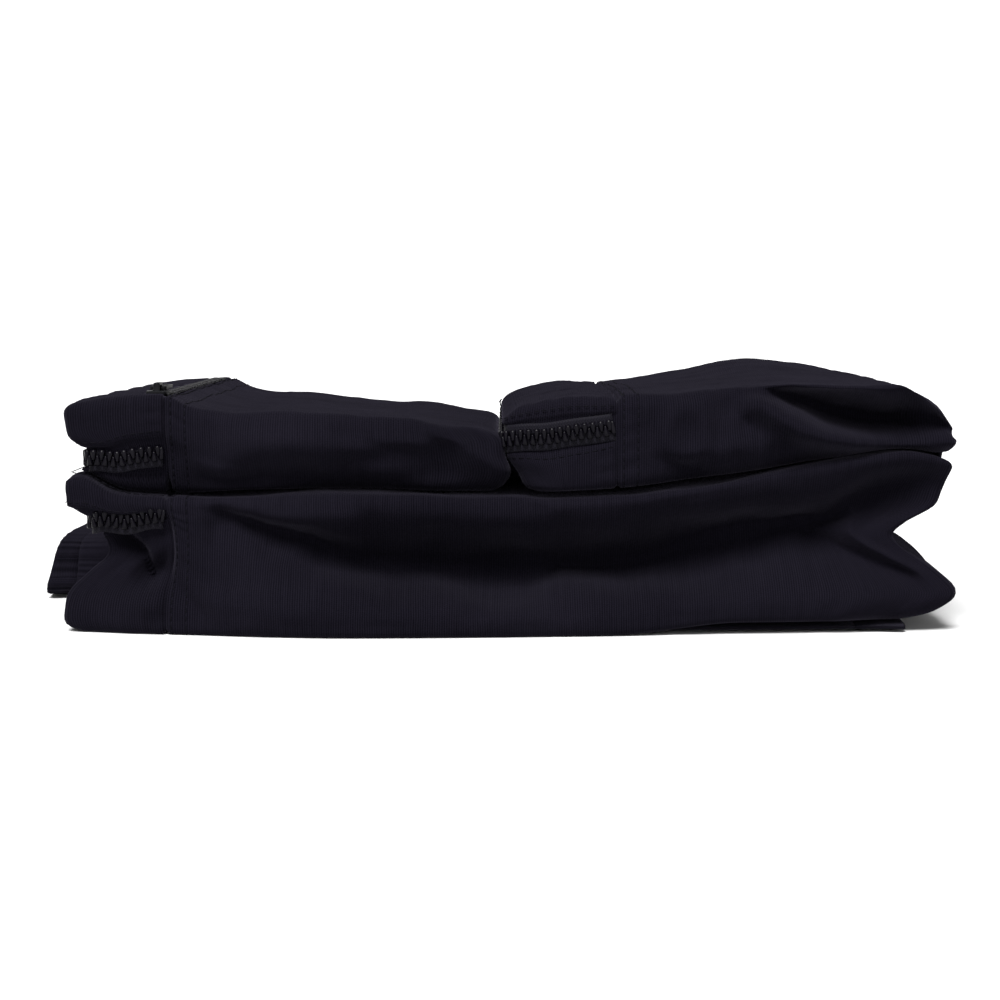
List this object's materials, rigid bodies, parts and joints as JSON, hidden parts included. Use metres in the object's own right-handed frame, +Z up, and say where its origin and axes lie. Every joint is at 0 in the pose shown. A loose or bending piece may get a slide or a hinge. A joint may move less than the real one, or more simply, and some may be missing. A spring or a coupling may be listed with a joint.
{
  "type": "film changing bag",
  "caption": "Black double-walled light-tight changing bag, zipped shut and folded into a flat bundle, with zipped mouths and tucked arm sleeves.",
  "frame": {"origin": "on the underside, at the middle of the folded bundle", "axes": "+X to the right along the bundle's length, +Y to the rear, +Z up"},
  "size_m": [0.3625, 0.2425, 0.1006],
  "materials": {
    "cloth": "black ribbed twill, slightly sheeny",
    "lining": "dull black rubber-backed lining",
    "tape": "woven black zip tape",
    "teeth": "moulded black zip teeth",
    "slider": "black lacquered die-cast zip slider",
    "elastic": "black knitted elastic"
  },
  "bodies": {
    "base": {"upper_fold_shell": "cloth", "upper_fold_mouth_top": "cloth", "upper_fold_mouth_bottom": "cloth", "upper_fold_seam_binding": "tape", "upper_fold_inner_bag": "lining", "upper_fold_inner_zip": "teeth", "upper_fold_zip_tape_top": "tape", "upper_fold_zip_tape_bottom": "tape", "upper_fold_zip_teeth_top": "teeth", "upper_fold_zip_teeth_bottom": "teeth", "upper_fold_zip_stop_front": "teeth", "upper_fold_zip_stop_rear": "teeth", "lower_fold_shell": "cloth", "lower_fold_inner_bag": "lining", "left_sleeve": "cloth", "left_sleeve_cuff": "cloth", "left_sleeve_elastic": "elastic", "right_sleeve": "cloth", "right_sleeve_cuff": "cloth", "right_sleeve_elastic": "elastic", "rear_hinge_web": "cloth", "right_hinge_web": "cloth"},
    "left_fold": {"left_fold_shell": "cloth", "left_fold_mouth_top": "cloth", "left_fold_mouth_bottom": "cloth", "left_fold_seam_binding": "tape", "left_fold_inner_bag": "lining", "left_fold_inner_zip": "teeth", "left_fold_zip_tape_top": "tape", "left_fold_zip_tape_bottom": "tape", "left_fold_zip_teeth_top": "teeth", "left_fold_zip_teeth_bottom": "teeth", "left_fold_zip_stop_front": "teeth", "left_fold_zip_stop_rear": "teeth", "top_zip_tape_left": "tape", "top_zip_tape_right": "tape", "top_zip_teeth_left": "teeth", "top_zip_teeth_right": "teeth", "top_zip_stop_front": "teeth", "top_zip_stop_rear": "teeth"},
    "right_fold": {"right_fold_shell": "cloth", "right_fold_mouth_top": "cloth", "right_fold_mouth_bottom": "cloth", "right_fold_seam_binding": "tape", "right_fold_inner_bag": "lining", "right_fold_inner_zip": "teeth", "right_fold_zip_tape_top": "tape", "right_fold_zip_tape_bottom": "tape", "right_fold_zip_teeth_top": "teeth", "right_fold_zip_teeth_bottom": "teeth", "right_fold_zip_stop_front": "teeth", "right_fold_zip_stop_rear": "teeth"},
    "upper_fold_zip_slider": {"upper_fold_zip_slider": "slider"},
    "upper_fold_zip_pull": {"upper_fold_zip_pull": "slider"},
    "left_fold_zip_slider": {"left_fold_zip_slider": "slider"},
    "left_fold_zip_pull": {"left_fold_zip_pull": "slider"},
    "right_fold_zip_slider": {"right_fold_zip_slider": "slider"},
    "right_fold_zip_pull": {"right_fold_zip_pull": "slider"},
    "top_zip_slider": {"top_zip_slider": "slider"},
    "top_zip_pull": {"top_zip_pull": "slider"}
  },
  "joints": [
    {"name": "left_fold_hinge", "type": "hinge", "parent": "base", "child": "left_fold", "pos_m": [-0.084, 0.1202, 0.0553], "axis": [-1, 0, 0], "range_deg": [0, 180]},
    {"name": "right_fold_hinge", "type": "hinge", "parent": "base", "child": "right_fold", "pos_m": [0.1692, 0, 0.0713], "axis": [0, 1, 0], "range_deg": [0, 185]},
    {"name": "upper_fold_zip_travel", "type": "slide", "parent": "base", "child": "upper_fold_zip_slider", "axis": [0, -1, 0], "range_m": [0, 0.191]},
    {"name": "upper_fold_zip_pull_hinge", "type": "hinge", "parent": "upper_fold_zip_slider", "child": "upper_fold_zip_pull", "pos_m": [-0.1641, 0.0955, 0.04319], "axis": [0, 0, -1], "range_deg": [0, 180]},
    {"name": "left_fold_zip_travel", "type": "slide", "parent": "left_fold", "child": "left_fold_zip_slider", "axis": [0, -1, 0], "range_m": [0, 0.191]},
    {"name": "left_fold_zip_pull_hinge", "type": "hinge", "parent": "left_fold_zip_slider", "child": "left_fold_zip_pull", "pos_m": [-0.1651, 0.0955, 0.06662], "axis": [0, 0, -1], "range_deg": [0, 180]},
    {"name": "right_fold_zip_travel", "type": "slide", "parent": "right_fold", "child": "right_fold_zip_slider", "axis": [-1, 0, 0], "range_m": [0, 0.014]},
    {"name": "right_fold_zip_pull_hinge", "type": "hinge", "parent": "right_fold_zip_slider", "child": "right_fold_zip_pull", "pos_m": [0.0285, 0.1216, 0.0745], "axis": [0, 0, -1], "range_deg": [0, 180]},
    {"name": "top_zip_travel", "type": "slide", "parent": "left_fold", "child": "top_zip_slider", "axis": [0, 1, 0], "range_m": [0, 0.1938]},
    {"name": "top_zip_pull_hinge", "type": "hinge", "parent": "top_zip_slider", "child": "top_zip_pull", "pos_m": [-0.1355, -0.0969, 0.0926], "axis": [1, 0, 0], "range_deg": [0, 180]}
  ]
}
